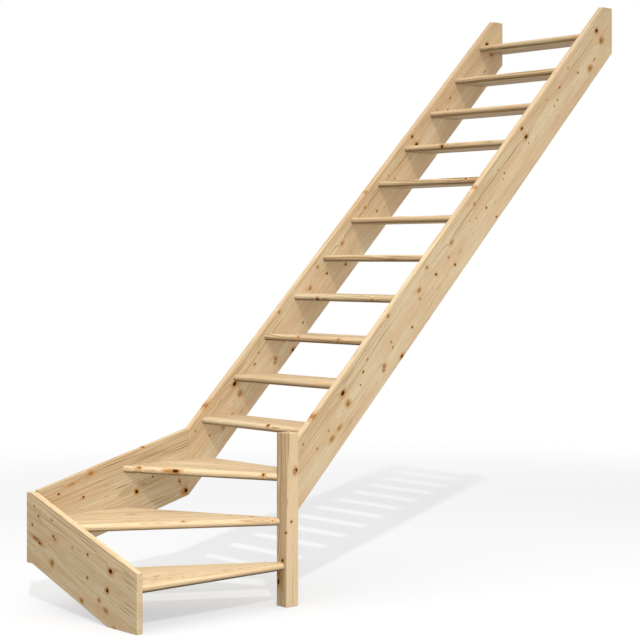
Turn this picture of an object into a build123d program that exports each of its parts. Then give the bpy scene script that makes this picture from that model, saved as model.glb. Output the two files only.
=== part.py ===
from build123d import *
import os
from math import cos, radians, sin, tan

# Space-saving staircase in pale softwood. Three winder treads turn a quarter to the right at the
# foot of a straight flight of eleven treads. Every tread is housed in the strings or the newel post.
# Frame: millimetres, +Z up, +X up the straight flight, +Y towards the wall.
# The origin is the centre of the newel post's foot, on the floor.

# Driving dimensions
RISE = 200.0
GOING = 202.0
STRAIGHT_TREADS = 11
CLEAR_WIDTH = 765.0
WINDER_WIDTH = 805.0
STRING_THICKNESS = 30.0
TREAD_THICKNESS = 35.0
TREAD_OVERLAP = 16.0
HOUSING_DEPTH = 12.0
POST_SIZE = 70.0
POST_ABOVE_STRING = 27.0
EDGE_EASE = 2.0

# Straight strings, measured plumb from the line through the noses
STRING_ABOVE_NOSES = 29.0
STRING_BELOW_NOSES = 296.0
STRING_TOP_BELOW_FLOOR = 52.0
POST_TO_FIRST_NOSE = 68.0
JOINT_TO_FIRST_NOSE = 80.0

# Winder strings: plumb heights over and under the treads, and the entry string's seat and level end
ENTRY_ABOVE_FIRST_TREAD = 57.0
ENTRY_FLOOR_SEAT = 215.0
ENTRY_PAST_WALL_STRING = 25.0
ENTRY_LEVEL_END = 45.0
CORNER_ABOVE_SECOND_TREAD = 116.0
CORNER_BELOW_SECOND_TREAD = 205.0
WALL_STRING_STEP = 8.0

# Winder treads: how far each nose line starts from the post's outer face, and how far it turns
FIRST_NOSE_SETBACK = 18.0
SECOND_NOSE_SETBACK = 48.0
SECOND_NOSE_TURN = 30.0
THIRD_NOSE_TURN = 65.0
WINDER_OVERLAP = 20.0
THIRD_TREAD_OVERLAP = 38.0

# Faces in plan
post_face = POST_SIZE / 2
outer_face = -post_face
outer_inside = outer_face + STRING_THICKNESS
wall_inside = outer_inside + CLEAR_WIDTH
wall_face = wall_inside + STRING_THICKNESS
entry_inside = -post_face - WINDER_WIDTH
entry_face = entry_inside - STRING_THICKNESS
first_nose = post_face + POST_TO_FIRST_NOSE
wall_joint = first_nose - JOINT_TO_FIRST_NOSE
flight_end = first_nose + STRAIGHT_TREADS * GOING

# Where the housed ends of the treads stop
housed_outer = outer_inside - HOUSING_DEPTH
housed_wall = wall_inside + HOUSING_DEPTH
housed_entry = entry_inside - HOUSING_DEPTH
post_core = post_face - HOUSING_DEPTH

# Levels
winder_tops = [RISE, 2 * RISE, 3 * RISE]
first_straight_top = (len(winder_tops) + 1) * RISE
upper_floor = first_straight_top + STRAIGHT_TREADS * RISE
string_top_cut = upper_floor - STRING_TOP_BELOW_FLOOR
pitch = RISE / GOING


def nose_line(x):
    """Height of the line through the straight treads' noses."""
    return first_straight_top + (x - first_nose) * pitch


post_height = nose_line(post_face) + STRING_ABOVE_NOSES + POST_ABOVE_STRING


def second_nose(x):
    """Second winder's nose line in plan: y at x."""
    return outer_face + SECOND_NOSE_SETBACK - (x + post_face) * tan(radians(SECOND_NOSE_TURN))


def third_nose(y):
    """Third winder's nose line in plan, through the post's inner corner: x at y."""
    return -post_face - (y - post_face) / tan(radians(THIRD_NOSE_TURN))


def make_tread(number, top, outline, front, back):
    """A tread with a half-round nose along front, cut out of its plan outline and notched at the post."""
    nose_start, nose_end = Vector(*front[0]), Vector(*front[1])
    along = (nose_end - nose_start).normalized()
    inwards = Vector(0, 0, 1).cross(along)
    span = max((Vector(*a) - Vector(*b)).length for a in outline for b in outline)
    reach = 2 * (span + TREAD_THICKNESS)
    section = Plane((nose_start + nose_end) * 0.5 + Vector(0, 0, top), x_dir=inwards, z_dir=along)
    with BuildPart() as tread:
        with BuildSketch(Plane.XY.offset(top - TREAD_THICKNESS)):
            with BuildLine():
                Polyline(*outline, close=True)
            make_face()
        extrude(amount=TREAD_THICKNESS)
        with BuildSketch(section):
            with Locations((reach / 2, -TREAD_THICKNESS / 2)):
                SlotOverall(reach, TREAD_THICKNESS)
        extrude(amount=reach, both=True, mode=Mode.INTERSECT)
        back_middle = (Vector(*back[0]) + Vector(*back[1])) * 0.5 + Vector(0, 0, top - TREAD_THICKNESS / 2)
        fillet(tread.edges().sort_by_distance(back_middle)[:2], EDGE_EASE)
        Box(2 * post_core, 2 * post_core, 2 * upper_floor, mode=Mode.SUBTRACT)
    tread.part.label = f"tread_{number:02d}"
    return tread.part


def make_string(label, plane, outline, axis, housed_treads):
    """A board of STRING_THICKNESS with eased edges and a housing for each tread it carries."""
    with BuildPart() as board:
        with BuildSketch(plane):
            with BuildLine():
                Polyline(*outline, close=True)
            make_face()
        extrude(amount=STRING_THICKNESS)
        faces = board.faces().sort_by(axis)
        fillet(faces[0].edges() + faces[-1].edges(), EDGE_EASE)
        for tread in housed_treads:
            add(tread, mode=Mode.SUBTRACT)
    board.part.label = label
    return board.part


# Winder treads
first_nose_y = outer_face + FIRST_NOSE_SETBACK
under_second = WINDER_OVERLAP / cos(radians(SECOND_NOSE_TURN))
under_third = WINDER_OVERLAP / sin(radians(THIRD_NOSE_TURN))
third_back = first_nose + THIRD_TREAD_OVERLAP

first_front = [(housed_entry, first_nose_y), (-post_core, first_nose_y)]
first_back = [(-post_core, second_nose(-post_core) + under_second),
              (housed_entry, second_nose(housed_entry) + under_second)]
second_front = [(housed_entry, second_nose(housed_entry)), (0, second_nose(0))]
second_back = [(third_nose(0) + under_third, 0), (third_nose(housed_wall) + under_third, housed_wall)]
third_front = [(third_nose(housed_wall), housed_wall), (third_nose(housed_outer), housed_outer)]
third_end = [(third_back, housed_outer), (third_back, housed_wall)]

treads = [
    make_tread(1, winder_tops[0], first_front + first_back, first_front, first_back),
    make_tread(2, winder_tops[1], second_front + second_back + [(housed_entry, housed_wall)],
               second_front, second_back),
    make_tread(3, winder_tops[2], third_front + third_end, third_front, third_end),
]

# Straight treads: each runs under the next nose, and the last one stops flush with the strings
for step in range(STRAIGHT_TREADS):
    nose_x = first_nose + step * GOING
    back_x = min(nose_x + GOING + TREAD_OVERLAP, flight_end)
    nose = [(nose_x, housed_wall), (nose_x, housed_outer)]
    heel = [(back_x, housed_outer), (back_x, housed_wall)]
    treads.append(make_tread(len(treads) + 1, first_straight_top + step * RISE, nose + heel, nose, heel))

winders, straight = treads[:len(winder_tops)], treads[len(winder_tops):]


def straight_outline(start):
    """Side outline of a straight string: plumb cuts at both ends and a level cut under the upper floor."""
    level_cut = first_nose + (string_top_cut - STRING_ABOVE_NOSES - first_straight_top) / pitch
    return [
        (start, nose_line(start) - STRING_BELOW_NOSES),
        (flight_end, nose_line(flight_end) - STRING_BELOW_NOSES),
        (flight_end, string_top_cut),
        (level_cut, string_top_cut),
        (start, nose_line(start) + STRING_ABOVE_NOSES),
    ]


# Strings of the straight flight
flight_treads = winders[-1:] + straight
outer_plane = Plane.XZ.offset(-outer_inside)
wall_plane = Plane.XZ.offset(-wall_face)
outer_outline = straight_outline(post_face)
upper_outline = straight_outline(wall_joint)
outer_string = make_string("outer_string", outer_plane, outer_outline, Axis.Y, flight_treads)
wall_string_upper = make_string("wall_string_upper", wall_plane, upper_outline, Axis.Y, flight_treads)

# Strings round the winders
corner_top = winder_tops[1] + CORNER_ABOVE_SECOND_TREAD
corner_bottom = winder_tops[1] - CORNER_BELOW_SECOND_TREAD
lower_outline = [
    (entry_inside, corner_bottom),
    (wall_joint, nose_line(wall_joint) - STRING_BELOW_NOSES),
    (wall_joint, nose_line(wall_joint) + STRING_ABOVE_NOSES),
    (entry_inside, corner_top + WALL_STRING_STEP),
]
wall_string_lower = make_string("wall_string_lower", wall_plane, lower_outline, Axis.Y, winders[1:])
entry_end = wall_face + ENTRY_PAST_WALL_STRING
entry_level = entry_end - ENTRY_LEVEL_END
entry_outline = [
    (outer_face, 0),
    (outer_face + ENTRY_FLOOR_SEAT, 0),
    (entry_level, corner_bottom),
    (entry_end, corner_bottom),
    (entry_end, corner_top),
    (entry_level, corner_top),
    (outer_face, winder_tops[0] + ENTRY_ABOVE_FIRST_TREAD),
]
entry_string = make_string("entry_string", Plane.YZ.offset(entry_face), entry_outline, Axis.X, winders[:2])

# Newel post
with BuildPart() as newel_post:
    Box(POST_SIZE, POST_SIZE, post_height, align=(Align.CENTER, Align.CENTER, Align.MIN))
    fillet(newel_post.edges(), EDGE_EASE)
    for tread in winders:
        add(tread, mode=Mode.SUBTRACT)
newel_post.part.label = "newel_post"

os.makedirs("parts", exist_ok=True)
for piece in [newel_post.part, outer_string, wall_string_upper, wall_string_lower, entry_string] + treads:
    export_step(piece, f"parts/{piece.label}.step")
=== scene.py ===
from math import atan2, cos, radians, sin
from random import Random

import bpy
from mathutils import Matrix, Vector


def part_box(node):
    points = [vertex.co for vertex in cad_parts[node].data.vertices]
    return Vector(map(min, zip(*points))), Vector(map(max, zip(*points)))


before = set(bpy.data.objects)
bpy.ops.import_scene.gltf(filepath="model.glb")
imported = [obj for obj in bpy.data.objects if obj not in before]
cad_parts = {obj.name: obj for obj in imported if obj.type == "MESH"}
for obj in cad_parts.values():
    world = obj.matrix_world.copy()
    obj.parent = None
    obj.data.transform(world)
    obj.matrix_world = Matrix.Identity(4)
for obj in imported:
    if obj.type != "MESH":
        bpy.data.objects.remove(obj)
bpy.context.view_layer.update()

bl_info = {
    "name": "Spruce Winder Stair",
    "version": (1, 0, 0),
    "blender": (4, 5, 0),
    "location": "3D View > Sidebar > Stair",
    "description": "Finishes a space-saving winder stair in planed spruce and sets it on a pale studio floor",
    "category": "Object",
}

MM = 0.001

# The flight's noses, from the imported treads
FIRST_STRAIGHT, LAST_STRAIGHT = 4, 14
first_low, first_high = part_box("tread_%02d" % FIRST_STRAIGHT)
last_low, last_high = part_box("tread_%02d" % LAST_STRAIGHT)
flight_pitch = atan2(last_high.z - first_high.z, last_low.x - first_low.x)
tread_half = (first_high.z - first_low.z) / 2

# The turn of each tread's nose, and where the winders' nose lines meet the post, in the floor plan
WINDER_TURNS = {1: radians(0), 2: radians(30), 3: radians(65)}
WINDER_STARTS = {1: (-0.035, -0.017), 2: (-0.035, 0.013), 3: (-0.035, 0.035)}
STRAIGHT_TURN = radians(90)

# Treads glued up from other staves than their number gives, picked one by one
TREAD_SEEDS = {1: 35, 3: 23}

# Grain lines of the strings. The straight strings' line lies this far below the noses, square to the
# pitch, and the other two lines start at a height of their own.
STRING_CENTRE_BELOW_NOSES = 0.095
LOWER_STRING_PITCH = radians(14.7)
LOWER_STRING_START = 0.358
ENTRY_STRING_PITCH = radians(18)
ENTRY_STRING_START = 0.130

# How much darker and how much warmer than plain spruce each straight string is
STRAIGHT_STRING_TONES = {"outer_string": (-0.02, -0.03), "wall_string_upper": (0.06, 0.05)}

# Noise in the wood: features in one metre along the board, across it and through it
RING_WANDER = (0.8, 6.5, 6.5)
RING_WAVER = (3.6, 24.0, 24.0)
RING_PATCHES = (1.2, 11.0, 11.0)
KNOT_FRAY = (28.0, 160.0, 160.0)
FIBRES = (3.0, 120.0, 120.0)
HAIRS = (25.0, 1100.0, 1100.0)
COLOUR_DRIFT = (2.6, 14.0, 14.0)
FLECKS = (13.0, 130.0, 130.0)

# How far the rings wander, in rings, how far a knot pushes them, and how fast that push falls off
RINGS_WANDERED = 4.2
RINGS_PUSHED = 1.6
PUSH_FALL = -0.16

# Fine lines in each ring, and how far they wander
FINE_LINES = 3.3
FINE_WANDER = 3.0

# Steps in the log between two boards and between two staves, and between their random draws
BOARD_STEP = Vector((3.1, 1.7, 2.3))
STAVE_STEP = (9.0, 3.0, 5.0)
STAVE_DRAWS = 17.0
RING_DRAWS = 31.0

# Where a tread's first stave starts and where the pith lies in a stave, in stave widths
FIRST_STAVE_STEP = 0.37
PITH_SPREAD = 1.6
PITH_START = 0.3

# Relief and gloss of the planed face
BUMP_STRENGTH = 0.35
BUMP_HEIGHT = 0.0004
PLANED_SPECULAR = 0.06

# Half depth in millimetres of a knot that goes right through, and depth over width of one that doesn't
KNOT_THROUGH = 120
KNOT_DEPTH_RATIO = 1.6

# Small knots made up on each tread, and the step that keeps their draws apart from the staves' draws
STRAY_KNOTS = 2
STRAY_DRAWS = 100

# Floor, lamps and camera: the shadow fades to white between two distances from the floor's middle
FLOOR_MIDDLE = (0.7, 0.4, 0)
SHADOW_FADE = (2.0, 6.5)
KEY_LAMP_PLACE = (0, 0, 6)
BACK_LAMP_PLACE = (0, 0, 5)
CAMERA_FRAME_WIDTH = 36
CAMERA_REACH = 200
WHITE = (1, 1, 1, 1)

# Knots: along the board, across it, half length, half width, all in millimetres. Most places were picked
# in the photo and worked out on the boards by a separate script, and the sizes were judged by eye.
# The two straight strings are cut from one log, so their knots agree.
STRAIGHT_DEAD_KNOTS = [
    (2900, 58, 11, 9), (2620, 0, 4, 4), (2450, 42, 5, 4), (2390, 8, 4, 3), (2070, 90, 8, 6),
    (2065, 37, 12, 8), (1810, 18, 4, 3), (1785, 61, 3, 2), (1780, 2, 3, 2), (1610, -98, 5, 4),
    (1585, -14, 5, 4), (1495, -1, 3, 2), (1450, 24, 3, 2), (1220, -55, 6, 5), (1090, 6, 6, 5),
    (790, -57, 5, 4), (415, 30, 5, 3), (360, 0, 3, 3), (257, 57, 13, 8), (642, -3, 3, 3),
    (632, -29, 3, 3), (1212, 2, 4, 3), (643, -106, 9, 5),
]
STRAIGHT_LIVE_KNOTS = [
    (2896, -6, 18, 14), (2715, -51, 19, 14), (2575, 70, 6, 5), (2325, 65, 5, 4), (2350, 0, 5, 4),
    (2060, 0, 5, 4), (1600, 112, 12, 4), (1535, 60, 9, 7), (1280, 41, 14, 8), (1068, 76, 9, 7),
    (952, 36, 13, 9), (927, 1, 6, 5), (718, 100, 10, 6), (648, -106, 13, 8), (531, -53, 12, 10),
    (514, -63, 10, 8), (246, -2, 16, 13), (128, -42, 18, 7), (61, -43, 18, 9), (60, 112, 18, 6),
    (74, -1, 5, 4), (-30, -6, 6, 5), (-72, 75, 5, 5), (2775, -41, 12, 5), (476, 53, 9, 4),
]
STRAIGHT_STREAKS = [
    (1926, 49, 90, 3), (1370, 49, 85, 2.5), (1660, 70, 90, 2), (640, 60, 80, 2.5), (330, 84, 70, 2.5),
]

LOWER_DEAD_KNOTS = [
    (140, 109, 5, 4), (264, 48, 5, 4), (559, -31, 9, 9), (666, 4, 4, 4), (840, -127, 9, 11),
    (652, 162, 5, 4), (331, 139, 5, 3), (814, -71, 3, 7),
]
LOWER_LIVE_KNOTS = [
    (331, 141, 18, 9), (814, -71, 6, 14), (830, -129, 18, 15), (215, 128, 26, 5),
]
LOWER_STREAKS = [
    (480, 140, 110, 3), (660, 112, 110, 2.5), (760, 88, 90, 2), (480, 22, 50, 4), (690, -128, 110, 3),
    (640, -108, 90, 2.5),
]

ENTRY_DEAD_KNOTS = [
    (664, 4, 6, 4), (804, 40, 4, 4), (838, -18, 4, 4), (394, 42, 5, 4), (216, 48, 12, 9),
    (366, -54, 4, 4), (214, -41, 9, 8), (511, 19, 3, 3), (850, 70, 4, 3), (757, -72, 9, 4),
]
ENTRY_LIVE_KNOTS = [
    (785, -66, 42, 8), (748, -71, 14, 8), (638, -114, 13, 14), (375, -169, 13, 10), (255, -108, 10, 8),
    (196, -128, 15, 9), (117, -172, 9, 7), (700, 66, 9, 4), (650, -3, 16, 6),
]
ENTRY_STREAKS = [
    (650, 52, 230, 2.5), (620, 92, 140, 2.5), (440, 98, 150, 3), (400, 84, 130, 2.5), (90, 89, 70, 3.5),
    (90, 62, 70, 3.5), (60, 38, 60, 2), (50, -52, 75, 3), (70, -70, 70, 2.5), (40, -30, 60, 2.5),
]

# The post's knots also say how deep they lie from its middle, because they show on one face only
POST_DEAD_KNOTS = [
    (619, 22, 6, 6, -35), (388, -7, 4, 4, -35), (340, -35, 4, 3, -29), (209, -35, 6, 4, -7),
    (111, -35, 12, 4, 23),
]
POST_LIVE_KNOTS = [
    (614, 15, 15, 10, -35), (126, -35, 36, 14, 25), (560, 20, 12, 9, 35), (250, 35, 12, 8, 5),
    (470, 35, 9, 6, -12),
]

# Knots on the treads: from the post or the outer string along the nose, back from the nose, the two
# halves, and how far below the middle of the tread they show
TREAD_DEAD_KNOTS = {
    1: [(617, 138, 9, 4, -17)],
    2: [(441, 14, 6, 4, -17), (113, 78, 7, 5, -17)],
    3: [(69, 4, 6, 5, -11), (329, 74, 9, 4, -17), (519, 1, 17, 5, -6), (712, 4, 6, 3, -12)],
    4: [(280, 7, 7, 6, -14)],
    7: [(598, 2, 7, 5, 9)],
    10: [(137, 4, 6, 4, -13)],
    11: [(494, 1, 8, 5, -1)],
}
TREAD_LIVE_KNOTS = {
    1: [(610, 54, 10, 4, -17), (300, 40, 22, 4, -17)],
    2: [(648, 272, 18, 8, -17), (34, 2, 4, 3, -8)],
    3: [(540, 1, 26, 6, -6), (560, 1, 22, 4, -4), (719, 5, 12, 5, -12), (423, 244, 8, 5, -17)],
    6: [(223, 1, 9, 5, -5), (520, 2, 7, 5, -8)],
    7: [(198, 1, 8, 4, 6)],
    9: [(620, 30, 10, 6)],
    12: [(300, 25, 9, 6)],
}


class SpruceFinish(bpy.types.PropertyGroup):
    """Colours and grain of the planed spruce"""

    early_wood: bpy.props.FloatVectorProperty(
        name="Early wood", description="Pale wood between the ring lines", subtype="COLOR", size=4,
        min=0, max=1, default=(0.850, 0.676, 0.424, 1))
    blush_wood: bpy.props.FloatVectorProperty(
        name="Blush", description="Slightly pinker wood that drifts through the board",
        subtype="COLOR", size=4, min=0, max=1, default=(0.790, 0.556, 0.327, 1))
    pale_wood: bpy.props.FloatVectorProperty(
        name="Pale wood",
        description="Palest wood, on the post, the winders and towards the entry string's top",
        subtype="COLOR", size=4, min=0, max=1, default=(0.930, 0.700, 0.425, 1))
    late_wood: bpy.props.FloatVectorProperty(
        name="Late wood", description="Darker lines of the growth rings", subtype="COLOR", size=4,
        min=0, max=1, default=(0.430, 0.265, 0.115, 1))
    dead_knot: bpy.props.FloatVectorProperty(
        name="Dead knot", description="Dark heart of a dead knot", subtype="COLOR", size=4,
        min=0, max=1, default=(0.050, 0.014, 0.004, 1))
    live_knot: bpy.props.FloatVectorProperty(
        name="Live knot", description="Brown ring of a live knot", subtype="COLOR", size=4,
        min=0, max=1, default=(0.330, 0.120, 0.028, 1))
    knot_halo: bpy.props.FloatVectorProperty(
        name="Knot halo", description="Resin-stained wood round a knot", subtype="COLOR", size=4,
        min=0, max=1, default=(0.610, 0.320, 0.100, 1))
    streak: bpy.props.FloatVectorProperty(
        name="Streak", description="Dark streaks along the grain", subtype="COLOR", size=4,
        min=0, max=1, default=(0.320, 0.165, 0.062, 1))
    streak_depth: bpy.props.FloatProperty(
        name="Streak depth", description="How dark the streaks are", subtype="FACTOR",
        min=0, max=1, default=0.8)
    ring_width: bpy.props.FloatProperty(
        name="Ring width", description="Growth in one year", subtype="DISTANCE", unit="LENGTH",
        min=0.001, max=0.03, default=0.013)
    stave_width: bpy.props.FloatProperty(
        name="Stave width", description="Width of the strips that the treads are glued from",
        subtype="DISTANCE", unit="LENGTH", min=0.03, max=0.4, default=0.105)
    roughness: bpy.props.FloatProperty(
        name="Roughness", description="Roughness of the planed early wood", subtype="FACTOR",
        min=0, max=1, default=0.58)


class StairStage(bpy.types.PropertyGroup):
    """Floor, light and camera"""

    floor_colour: bpy.props.FloatVectorProperty(
        name="Floor", description="Colour of the floor that the camera sees", subtype="COLOR", size=4,
        min=0, max=1, default=(0.92, 0.92, 0.92, 1))
    bounce_colour: bpy.props.FloatVectorProperty(
        name="Bounce", description="Colour of the floor for light that goes on to the stair",
        subtype="COLOR", size=4, min=0, max=1, default=(0.04, 0.04, 0.04, 1))
    floor_size: bpy.props.FloatProperty(
        name="Floor size", description="Side of the floor", subtype="DISTANCE", unit="LENGTH",
        min=5, max=200, default=90)
    shadow_share: bpy.props.FloatProperty(
        name="Shadow share", description="How much of the stair's shadow the floor keeps", subtype="FACTOR",
        min=0, max=1, default=0.9)
    key_strength: bpy.props.FloatProperty(
        name="Key strength", description="Strength of the key lamp", min=0, max=20, default=0.62)
    key_travel: bpy.props.FloatVectorProperty(
        name="Key direction", description="Way in which the key light travels", subtype="DIRECTION", size=3,
        default=(0.419, 0.608, -0.674))
    key_softness: bpy.props.FloatProperty(
        name="Key softness", description="Width of the key lamp as the stair sees it", subtype="ANGLE",
        unit="ROTATION", default=radians(1.5))
    fill_power: bpy.props.FloatProperty(
        name="Fill power", description="Power of the fill lamp, which casts no shadow", subtype="POWER",
        unit="POWER", min=0, max=50000, default=11800)
    fill_place: bpy.props.FloatVectorProperty(
        name="Fill lamp", description="Where the fill lamp stands", subtype="TRANSLATION",
        unit="LENGTH", size=3, default=(-7.8, -12.0, 14.4))
    fill_aim: bpy.props.FloatVectorProperty(
        name="Fill aim", description="Where the fill lamp points; its light fades away from there",
        subtype="TRANSLATION", unit="LENGTH", size=3, default=(0.0, 0.0, 0.4))
    fill_cone: bpy.props.FloatProperty(
        name="Fill cone", description="Width of the fill lamp's soft cone", subtype="ANGLE", unit="ROTATION",
        default=radians(33))
    back_strength: bpy.props.FloatProperty(
        name="Back strength", description="Strength of the light on the back and the undersides",
        min=0, max=20, default=1.6)
    back_travel: bpy.props.FloatVectorProperty(
        name="Back direction", description="Way in which the back light travels", subtype="DIRECTION", size=3,
        default=(-0.50, -0.62, 0.60))
    room_strength: bpy.props.FloatProperty(
        name="Room strength", description="Even light from all round", min=0, max=5, default=0.51)
    camera_place: bpy.props.FloatVectorProperty(
        name="Camera", description="Where the camera stands", subtype="TRANSLATION", unit="LENGTH", size=3,
        default=(-5.09, -5.82, 1.583))
    camera_turn: bpy.props.FloatProperty(
        name="Camera turn", description="Turn of the level camera away from +Y", subtype="ANGLE",
        unit="ROTATION", default=radians(-42.27))
    camera_lens: bpy.props.FloatProperty(
        name="Lens", description="Focal length in millimetres on a 36 mm frame",
        min=10, max=400, default=95.4)
    camera_drop: bpy.props.FloatProperty(
        name="Lens drop", description="Vertical shift of the level lens", min=-1, max=1, default=-0.0964)


class Value:
    """A shader socket for Python sums: each operator adds a Math node"""

    def __init__(self, tree, socket):
        self.tree, self.socket = tree, socket

    def math(self, operation, *others):
        return self.tree.math(operation, self, *others)

    def __add__(self, other):
        return self.tree.math("ADD", self, other)

    def __radd__(self, other):
        return self.tree.math("ADD", other, self)

    def __sub__(self, other):
        return self.tree.math("SUBTRACT", self, other)

    def __rsub__(self, other):
        return self.tree.math("SUBTRACT", other, self)

    def __mul__(self, other):
        return self.tree.math("MULTIPLY", self, other)

    def __rmul__(self, other):
        return self.tree.math("MULTIPLY", other, self)

    def __truediv__(self, other):
        return self.tree.math("DIVIDE", self, other)

    def __pow__(self, other):
        return self.tree.math("POWER", self, other)


class NodeTree:
    """Nodes of one material or of the world"""

    def __init__(self, owner):
        owner.use_nodes = True
        self.tree = owner.node_tree
        self.tree.nodes.clear()

    def node(self, kind, settings=None, sockets=None, output=0):
        """Adds a node: its settings are set first, then the values or links of its sockets"""
        node = self.tree.nodes.new(kind)
        for name, value in (settings or {}).items():
            setattr(node, name, value)
        for key, value in (sockets or {}).items():
            if isinstance(value, Value):
                self.tree.links.new(value.socket, node.inputs[key])
            else:
                node.inputs[key].default_value = value
        return Value(self, node.outputs[output]) if len(node.outputs) else None

    def math(self, operation, *operands):
        return self.node("ShaderNodeMath", {"operation": operation}, dict(enumerate(operands)))

    def vector(self, operation, *operands, output=0):
        return self.node("ShaderNodeVectorMath", {"operation": operation}, dict(enumerate(operands)), output)

    def smooth(self, value, low, high, start=0.0, end=1.0):
        """Smooth step from start at low to end at high"""
        return self.node("ShaderNodeMapRange", {"interpolation_type": "SMOOTHSTEP"},
                         {"Value": value, "From Min": low, "From Max": high, "To Min": start, "To Max": end})

    def mix(self, factor, first, second):
        return self.node("ShaderNodeMix", {"data_type": "RGBA"}, {0: factor, 6: first, 7: second}, output=2)

    def noise(self, place, stretch, detail, roughness=0.5):
        """Noise between about -0.5 and 0.5, with features 1 / stretch metres long on each axis"""
        stretched = self.vector("MULTIPLY", place, stretch)
        return self.node("ShaderNodeTexNoise", None, {
            "Vector": stretched, "Scale": 1.0, "Detail": detail, "Roughness": roughness}) - 0.5

    def split(self, vector):
        """The three parts of a vector"""
        parts = self.node("ShaderNodeSeparateXYZ", None, {"Vector": vector}).socket.node.outputs
        return [Value(self, parts[axis]) for axis in "XYZ"]

    def combine(self, x, y, z):
        return self.node("ShaderNodeCombineXYZ", None, {"X": x, "Y": y, "Z": z})

    def random(self, number):
        """A different number between 0 and 1 for each whole number"""
        return self.node("ShaderNodeTexWhiteNoise", {"noise_dimensions": "1D"}, {"W": number})


class Board:
    """A board's own axes (along, across, through) and how it was cut from the log"""

    def __init__(self, origin, along, across, pith, run_out, seed, staves=False, band=None,
                 warm=0.0, dark=0.0, pale=0.0, heart=0.0, lines=1.0):
        self.origin = Vector(origin)
        along, across = Vector(along).normalized(), Vector(across).normalized()
        axes = Matrix((along, across, along.cross(across))).transposed()
        self.rotation = axes.to_euler()
        self.pith, self.run_out, self.seed = pith, run_out, seed
        self.staves, self.band, self.lines = staves, band, lines
        self.warm, self.dark, self.pale, self.heart = warm, dark, pale, heart

    def place(self, tree):
        """Place on the board, in metres along its axes"""
        coordinates = tree.node("ShaderNodeTexCoord", output="Object")
        return tree.node("ShaderNodeMapping", {"vector_type": "TEXTURE"}, {
            "Vector": coordinates, "Location": self.origin, "Rotation": self.rotation})

    def timber(self, tree, place, stave_width):
        """Place in the uncut log, the pith's place across the board, and a tone for each glued stave"""
        if not self.staves:
            return tree.vector("ADD", place, BOARD_STEP * self.seed), self.pith[0], 0.0
        across = tree.split(place)[1]
        first_edge = self.seed * FIRST_STAVE_STEP
        stave = (across / stave_width + first_edge).math("FLOOR")
        luck = tree.random(stave + self.seed * STAVE_DRAWS)
        timber = tree.vector("ADD", place, tree.combine(*(luck * step for step in STAVE_STEP)))
        pith_across = (stave + luck * PITH_SPREAD - (PITH_START + first_edge)) * stave_width
        return timber, pith_across, luck - 0.5

    def across_band(self, tree, place, start, end):
        """A value that goes from start to end over the board's band"""
        low, high = self.band
        return tree.smooth(tree.split(place)[1], low, high, start, end)


def knot_field(tree, place, knots):
    """Distance to the nearest knot, in knot radii, or None on a clear board"""
    nearest = None
    for along, across, half_length, half_width, *depth in knots:
        half_depth, middle = (half_width * KNOT_DEPTH_RATIO, depth[0]) if depth else (KNOT_THROUGH, 0)
        halves = [half_length * MM, half_width * MM, half_depth * MM]
        scale = [1 / half for half in halves]
        shift = [-at * MM / half for at, half in zip((along, across, middle), halves)]
        distance = tree.vector("LENGTH", tree.vector("MULTIPLY_ADD", place, scale, shift), output="Value")
        nearest = distance if nearest is None else nearest.math("MINIMUM", distance)
    return nearest


def pith_distance(tree, board, place, pith_across):
    """Distance to the pith, which runs out of the board a little"""
    along, across, depth = tree.split(place)
    run_across, run_depth = board.run_out
    return ((across - along * run_across - pith_across) ** 2.0
            + (depth - along * run_depth - board.pith[1]) ** 2.0).math("SQRT")


def late_wood_lines(tree, board, ring_width, place, timber, radius, knots):
    """Dark lines of the growth rings round the pith, bent by slow noise and round the knots"""
    wander = tree.noise(timber, RING_WANDER, detail=2.0)
    waver = tree.noise(timber, RING_WAVER, detail=1.0)
    phase = radius / ring_width + wander * RINGS_WANDERED + waver
    for distance in knots:
        phase = phase + (distance * distance * PUSH_FALL).math("EXPONENT") * RINGS_PUSHED
    ring = phase.math("FLOOR")
    in_ring = phase - ring
    strength = tree.random(ring + board.seed * RING_DRAWS)
    line = tree.smooth(in_ring, 0.30, 0.88) * tree.smooth(in_ring, 0.92, 1.0, 1.0, 0.0)
    fine_phase = phase * FINE_LINES + wander * FINE_WANDER
    in_fine = fine_phase - fine_phase.math("FLOOR")
    fine_line = tree.smooth(in_fine, 0.15, 0.8) * tree.smooth(in_fine, 0.85, 1.0, 1.0, 0.0)
    patches = tree.smooth(tree.noise(timber, RING_PATCHES, detail=1.0), -0.2, 0.22, 0.35, 1.0)
    if board.band:
        patches = patches * board.across_band(tree, place, 0.5, 1.2)
    return (line * (strength * strength * 0.9 + 0.2) + fine_line * 0.35) * patches * board.lines


def paint_live_knots(tree, finish, wood, distance, fray):
    """Live knots: a stained halo and a blotchy brown heart that is weaker in the middle"""
    blotch = tree.smooth(fray, -0.22, 0.22, 0.45, 1.15)
    halo = tree.smooth(distance, 0.7, 2.4, 0.7, 0.0)
    ring = tree.smooth(distance, 0.5, 1.2, 0.95, 0.0)
    middle = tree.smooth(distance, 0.0, 0.7, 0.6, 1.0)
    heart = ring * middle * blotch
    wood = tree.mix(halo, wood, finish.knot_halo)
    return tree.mix(heart, wood, finish.live_knot), heart


def paint_dead_knots(tree, finish, wood, distance):
    """Dead knots: a stained halo, a brown rim and a dark heart"""
    halo = tree.smooth(distance, 0.9, 3.3, 0.9, 0.0)
    rim = tree.smooth(distance, 0.8, 1.6, 0.9, 0.0)
    heart = tree.smooth(distance, 0.75, 1.2, 1.0, 0.0)
    wood = tree.mix(halo, wood, finish.knot_halo)
    wood = tree.mix(rim, wood, finish.live_knot)
    return tree.mix(heart, wood, finish.dead_knot), heart


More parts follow.
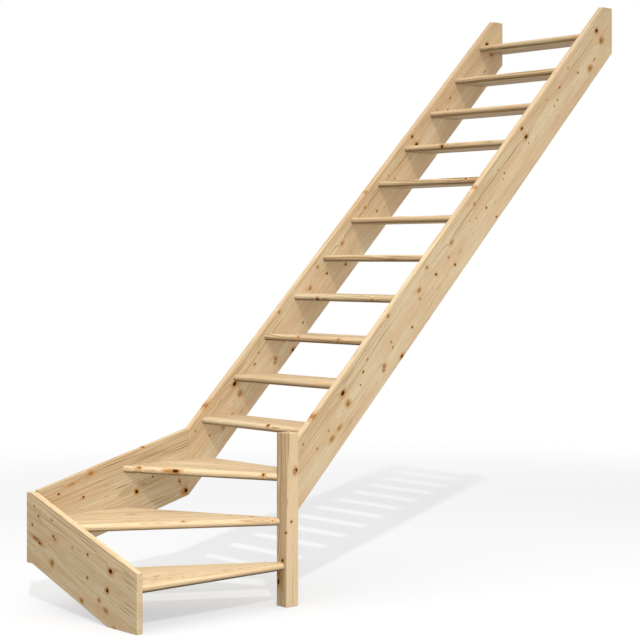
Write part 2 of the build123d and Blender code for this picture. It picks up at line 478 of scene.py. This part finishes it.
def make_spruce(name, board, finish, dead, live, streaks):
    """Planed spruce as a solid: growth rings round the pith, fibres, and knots where the board has them"""
    material = bpy.data.materials.new(name)
    tree = NodeTree(material)
    place = board.place(tree)
    timber, pith_across, tone = board.timber(tree, place, finish.stave_width)

    # Knots, with edges frayed along the grain
    fray = tree.noise(timber, KNOT_FRAY, detail=2.0)
    knot_place = tree.vector("ADD", place, tree.combine(fray * 0.016, fray * 0.005, fray * 0.010))
    dead_distance = knot_field(tree, knot_place, dead)
    live_distance = knot_field(tree, knot_place, live)
    knots = [distance for distance in (dead_distance, live_distance) if distance]

    # Rings, fibres and slow colour drift
    radius = pith_distance(tree, board, place, pith_across)
    late = late_wood_lines(tree, board, finish.ring_width, place, timber, radius, knots)
    fibre = tree.noise(timber, FIBRES, detail=3.0, roughness=0.7)
    hairs = tree.noise(timber, HAIRS, detail=2.0, roughness=0.6)
    drift = tree.noise(timber, COLOUR_DRIFT, detail=3.0) + tone * 0.15
    wood = tree.mix(tree.smooth(drift + board.warm, -0.18, 0.18), finish.early_wood, finish.blush_wood)
    if board.pale:
        paleness = board.across_band(tree, place, 0.0, board.pale) if board.band else board.pale
        wood = tree.mix(paleness, wood, finish.pale_wood)
    darker = late * 0.85 + fibre * 1.30 + hairs * 0.28 + tone * 0.08 + board.dark
    # Dark heartwood round the pith. On the post it darkens mostly the −X and +Y faces, and that darker −X
    # face is partly the post's own heartwood and partly painted shade.
    if board.heart:
        darker = darker + tree.smooth(radius, board.heart * 0.85, board.heart * 1.15, 0.60, 0.0)
    wood = tree.mix(darker.math("MAXIMUM", 0.0), wood, finish.late_wood)
    roughness = finish.roughness - late * 0.10
    height = late * 0.6 + fibre * 0.4 + hairs * 0.4

    # Flecks and streaks along the grain, then live and dead knots with their stained halos
    flecks = tree.smooth(tree.noise(timber, FLECKS, detail=1.0), 0.16, 0.30, 0.0, 0.65)
    wood = tree.mix(flecks, wood, finish.streak)
    if streaks:
        streak = tree.smooth(knot_field(tree, place, streaks), 0.2, 1.2, finish.streak_depth, 0.0)
        wood = tree.mix(streak, wood, finish.streak)
    if live_distance:
        wood, heart = paint_live_knots(tree, finish, wood, live_distance, fray)
        roughness = roughness - heart * 0.1
    if dead_distance:
        wood, heart = paint_dead_knots(tree, finish, wood, dead_distance)
        height = height - heart * 1.2
    normal = tree.node("ShaderNodeBump", None, {
        "Strength": BUMP_STRENGTH, "Distance": BUMP_HEIGHT, "Height": height})
    surface = tree.node("ShaderNodeBsdfPrincipled", None, {
        "Base Color": wood, "Roughness": roughness, "Specular IOR Level": PLANED_SPECULAR, "Normal": normal})
    tree.node("ShaderNodeOutputMaterial", None, {"Surface": surface})
    return material


def dress(node, board, finish, dead, live, streaks=()):
    """Gives a CAD node the spruce of its own board"""
    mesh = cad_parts[node].data
    mesh.materials.clear()
    mesh.materials.append(make_spruce("spruce_" + node, board, finish, dead, live, streaks))


def sloping_board(origin, pitch, level, **cut):
    """A board that climbs at a pitch, level being the horizontal direction of the climb"""
    level, up = Vector(level), Vector((0, 0, 1))
    return Board(origin, level * cos(pitch) + up * sin(pitch), up * cos(pitch) - level * sin(pitch), **cut)


def tread_board(number):
    """A tread's axes: along the nose from the post or the outer string, and back from the nose"""
    low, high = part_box("tread_%02d" % number)
    winder = number in WINDER_TURNS
    turn = WINDER_TURNS.get(number, STRAIGHT_TURN)
    start = WINDER_STARTS.get(number, (low.x, low.y))
    luck = Random(number)
    pith = (0.0, luck.choice((-1, 1)) * luck.uniform(0.03, 0.07))
    run_out = (luck.uniform(-0.02, 0.02), luck.uniform(-0.03, 0.03))
    return Board((*start, high.z - tread_half), (-cos(turn), sin(turn), 0), (sin(turn), cos(turn), 0),
                 pith, run_out, TREAD_SEEDS.get(number, number), staves=True, lines=1.6,
                 dark=-0.10 if winder else -0.03, pale=0.5 if winder else 0.0)


def dress_tread(number, finish):
    """Gives a tread its staves, its own knots and a few stray ones"""
    luck = Random(STRAY_DRAWS + number)
    stray = [(luck.randint(60, 720), luck.randint(40, 190), luck.randint(4, 8), luck.randint(3, 5))
             for _ in range(STRAY_KNOTS)]
    live = TREAD_LIVE_KNOTS.get(number, []) + stray
    dress("tread_%02d" % number, tread_board(number), finish, TREAD_DEAD_KNOTS.get(number, []), live)


class STAIR_OT_newel_post(bpy.types.Operator):
    """Finish the newel post in spruce with upright grain"""
    bl_idname = "stair.newel_post"
    bl_label = "Newel Post"

    def execute(self, context):
        # The heart darkens the post's −X face: partly heartwood, partly painted shade on that side.
        board = Board((0, 0, 0), (0, 0, 1), (1, 0, 0), pith=(-0.060, 0.040), run_out=(0.008, -0.012), seed=21,
                      warm=0.05, dark=-0.24, pale=0.9, heart=0.074)
        dress("newel_post", board, context.scene.stair_spruce, POST_DEAD_KNOTS, POST_LIVE_KNOTS)
        return {"FINISHED"}


class STAIR_OT_straight_strings(bpy.types.Operator):
    """Finish the two strings of the straight flight"""
    bl_idname = "stair.straight_strings"
    bl_label = "Straight Strings"

    def execute(self, context):
        for name, (dark, warm) in STRAIGHT_STRING_TONES.items():
            low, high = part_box(name)
            drop = STRING_CENTRE_BELOW_NOSES
            origin = (first_low.x + drop * sin(flight_pitch), (low.y + high.y) / 2,
                      first_high.z - drop * cos(flight_pitch))
            board = sloping_board(origin, flight_pitch, (1, 0, 0), pith=(-0.055, -0.045),
                                  run_out=(0.004, -0.010), seed=3, band=(0.0, 0.09), warm=warm, dark=dark)
            dress(name, board, context.scene.stair_spruce,
                  STRAIGHT_DEAD_KNOTS, STRAIGHT_LIVE_KNOTS, STRAIGHT_STREAKS)
        return {"FINISHED"}


class STAIR_OT_lower_string(bpy.types.Operator):
    """Finish the wall string beside the winders"""
    bl_idname = "stair.lower_string"
    bl_label = "Lower Wall String"

    def execute(self, context):
        low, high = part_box("wall_string_lower")
        origin = (low.x, (low.y + high.y) / 2, LOWER_STRING_START)
        board = sloping_board(origin, LOWER_STRING_PITCH, (1, 0, 0),
                              pith=(-0.015, -0.05), run_out=(-0.006, 0.02), seed=5, band=(0.02, 0.11),
                              warm=-0.04, dark=0.28)
        dress("wall_string_lower", board, context.scene.stair_spruce,
              LOWER_DEAD_KNOTS, LOWER_LIVE_KNOTS, LOWER_STREAKS)
        return {"FINISHED"}


class STAIR_OT_entry_string(bpy.types.Operator):
    """Finish the string across the foot of the stair"""
    bl_idname = "stair.entry_string"
    bl_label = "Entry String"

    def execute(self, context):
        low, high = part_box("entry_string")
        origin = ((low.x + high.x) / 2, low.y, ENTRY_STRING_START)
        board = sloping_board(origin, ENTRY_STRING_PITCH, (0, 1, 0),
                              pith=(-0.030, 0.140), run_out=(0.01, 0.025), seed=8, band=(0.0, 0.08), pale=1.0)
        dress("entry_string", board, context.scene.stair_spruce,
              ENTRY_DEAD_KNOTS, ENTRY_LIVE_KNOTS, ENTRY_STREAKS)
        return {"FINISHED"}


class STAIR_OT_winder_treads(bpy.types.Operator):
    """Finish the three winder treads, glued up from staves along their noses"""
    bl_idname = "stair.winder_treads"
    bl_label = "Winder Treads"

    def execute(self, context):
        for number in WINDER_TURNS:
            dress_tread(number, context.scene.stair_spruce)
        return {"FINISHED"}


class STAIR_OT_straight_treads(bpy.types.Operator):
    """Finish the treads of the straight flight"""
    bl_idname = "stair.straight_treads"
    bl_label = "Straight Treads"

    def execute(self, context):
        for number in range(FIRST_STRAIGHT, LAST_STRAIGHT + 1):
            dress_tread(number, context.scene.stair_spruce)
        return {"FINISHED"}


def seen_directly(tree):
    """1 for what the camera sees straight, in a gloss or through glass, and 0 for light on the stair"""
    light_path = tree.node("ShaderNodeLightPath").socket.node.outputs
    camera, gloss, glass = (Value(tree, light_path[ray]) for ray in
                            ("Is Camera Ray", "Is Glossy Ray", "Is Transmission Ray"))
    return (camera + gloss + glass).math("MINIMUM", 1.0)


def add_lamp(kind, name, place, travel, energy):
    """A lamp that shines along travel"""
    turn = Vector(travel).to_track_quat("-Z", "Y").to_euler()
    bpy.ops.object.light_add(type=kind, location=place, rotation=turn)
    lamp = bpy.context.object
    lamp.name = lamp.data.name = name
    lamp.data.energy = energy
    lamp.visible_camera = False
    return lamp


def lay_floor(stage):
    """A pale floor that keeps the stair's shadow and fades to white away from it"""
    bpy.ops.object.select_all(action="DESELECT")
    bpy.ops.mesh.primitive_plane_add(size=stage.floor_size, location=FLOOR_MIDDLE)
    floor = bpy.context.object
    floor.name = "floor"
    material = bpy.data.materials.new("pale_floor")
    tree = NodeTree(material)
    bounce = tree.node("ShaderNodeBsdfDiffuse", None, {"Color": stage.bounce_colour})
    shaded = tree.node("ShaderNodeBsdfDiffuse", None, {"Color": stage.floor_colour})
    white = tree.node("ShaderNodeEmission", None, {"Color": WHITE, "Strength": 1.0})
    coordinates = tree.node("ShaderNodeTexCoord", output="Object")
    reach = tree.vector("LENGTH", coordinates, output="Value")
    share = tree.smooth(reach, *SHADOW_FADE, stage.shadow_share, 0.0)
    pale = tree.node("ShaderNodeMixShader", None, {0: share, 1: white, 2: shaded})
    surface = tree.node("ShaderNodeMixShader", None, {0: seen_directly(tree), 1: bounce, 2: pale})
    tree.node("ShaderNodeOutputMaterial", None, {"Surface": surface})
    floor.data.materials.append(material)


def light_room(scene, stage):
    """Even light from all round, in front of a white background"""
    world = bpy.data.worlds.new("studio")
    scene.world = world
    world.cycles.max_bounces = 0
    tree = NodeTree(world)
    strength = tree.smooth(seen_directly(tree), 0.0, 1.0, stage.room_strength, 1.0)
    room = tree.node("ShaderNodeBackground", None, {"Color": WHITE, "Strength": strength})
    tree.node("ShaderNodeOutputWorld", None, {"Surface": room})


def hang_lamps(stage):
    """A key lamp with a shadow, and two lamps without one in place of bounced light"""
    key = add_lamp("SUN", "key_lamp", KEY_LAMP_PLACE, stage.key_travel, stage.key_strength)
    key.data.angle = stage.key_softness
    fill_travel = Vector(stage.fill_aim) - Vector(stage.fill_place)
    fill = add_lamp("SPOT", "fill_lamp", stage.fill_place, fill_travel, stage.fill_power)
    fill.data.spot_size = stage.fill_cone
    fill.data.spot_blend = 1.0
    back = add_lamp("SUN", "back_lamp", BACK_LAMP_PLACE, stage.back_travel, stage.back_strength)
    for lamp in (fill, back):
        lamp.data.use_shadow = False
    # Seen in the gloss, the back lamp would leave a grey sheen on the undersides
    back.visible_glossy = False
    for lamp in (key, fill, back):
        lamp.data.cycles.max_bounces = 0


def set_camera(scene, stage):
    """A level camera at the photo's viewing angle"""
    level = (radians(90), 0, stage.camera_turn)
    bpy.ops.object.camera_add(location=stage.camera_place, rotation=level)
    camera = bpy.context.object
    camera.name = "camera"
    camera.data.sensor_width = CAMERA_FRAME_WIDTH
    camera.data.lens = stage.camera_lens
    camera.data.shift_y = stage.camera_drop
    camera.data.clip_end = CAMERA_REACH
    scene.camera = camera


class STAIR_OT_stage(bpy.types.Operator):
    """Add the pale floor, the soft studio light and the camera"""
    bl_idname = "stair.stage"
    bl_label = "Stage"

    def execute(self, context):
        stage = context.scene.stair_stage
        lay_floor(stage)
        light_room(context.scene, stage)
        hang_lamps(stage)
        set_camera(context.scene, stage)
        context.scene.view_settings.view_transform = "Standard"
        return {"FINISHED"}


class STAIR_PT_sidebar(bpy.types.Panel):
    """Lists the stair's steps and settings"""
    bl_idname = "STAIR_PT_sidebar"
    bl_label = "Spruce Winder Stair"
    bl_space_type = "VIEW_3D"
    bl_region_type = "UI"
    bl_category = "Stair"

    def draw(self, context):
        for operator in OPERATORS:
            self.layout.operator(operator.bl_idname)
        for settings in (context.scene.stair_spruce, context.scene.stair_stage):
            box = self.layout.box()
            for name in settings.__annotations__:
                box.prop(settings, name)


OPERATORS = (STAIR_OT_newel_post, STAIR_OT_straight_strings, STAIR_OT_lower_string, STAIR_OT_entry_string,
             STAIR_OT_winder_treads, STAIR_OT_straight_treads, STAIR_OT_stage)
CLASSES = (SpruceFinish, StairStage, *OPERATORS, STAIR_PT_sidebar)


def register():
    for cls in CLASSES:
        bpy.utils.register_class(cls)
    bpy.types.Scene.stair_spruce = bpy.props.PointerProperty(type=SpruceFinish)
    bpy.types.Scene.stair_stage = bpy.props.PointerProperty(type=StairStage)


def unregister():
    del bpy.types.Scene.stair_stage
    del bpy.types.Scene.stair_spruce
    for cls in reversed(CLASSES):
        bpy.utils.unregister_class(cls)


def main():
    register()
    bpy.ops.stair.newel_post()
    bpy.ops.stair.straight_strings()
    bpy.ops.stair.lower_string()
    bpy.ops.stair.entry_string()
    bpy.ops.stair.winder_treads()
    bpy.ops.stair.straight_treads()
    bpy.ops.stair.stage()


if __name__ == "__main__":
    main()
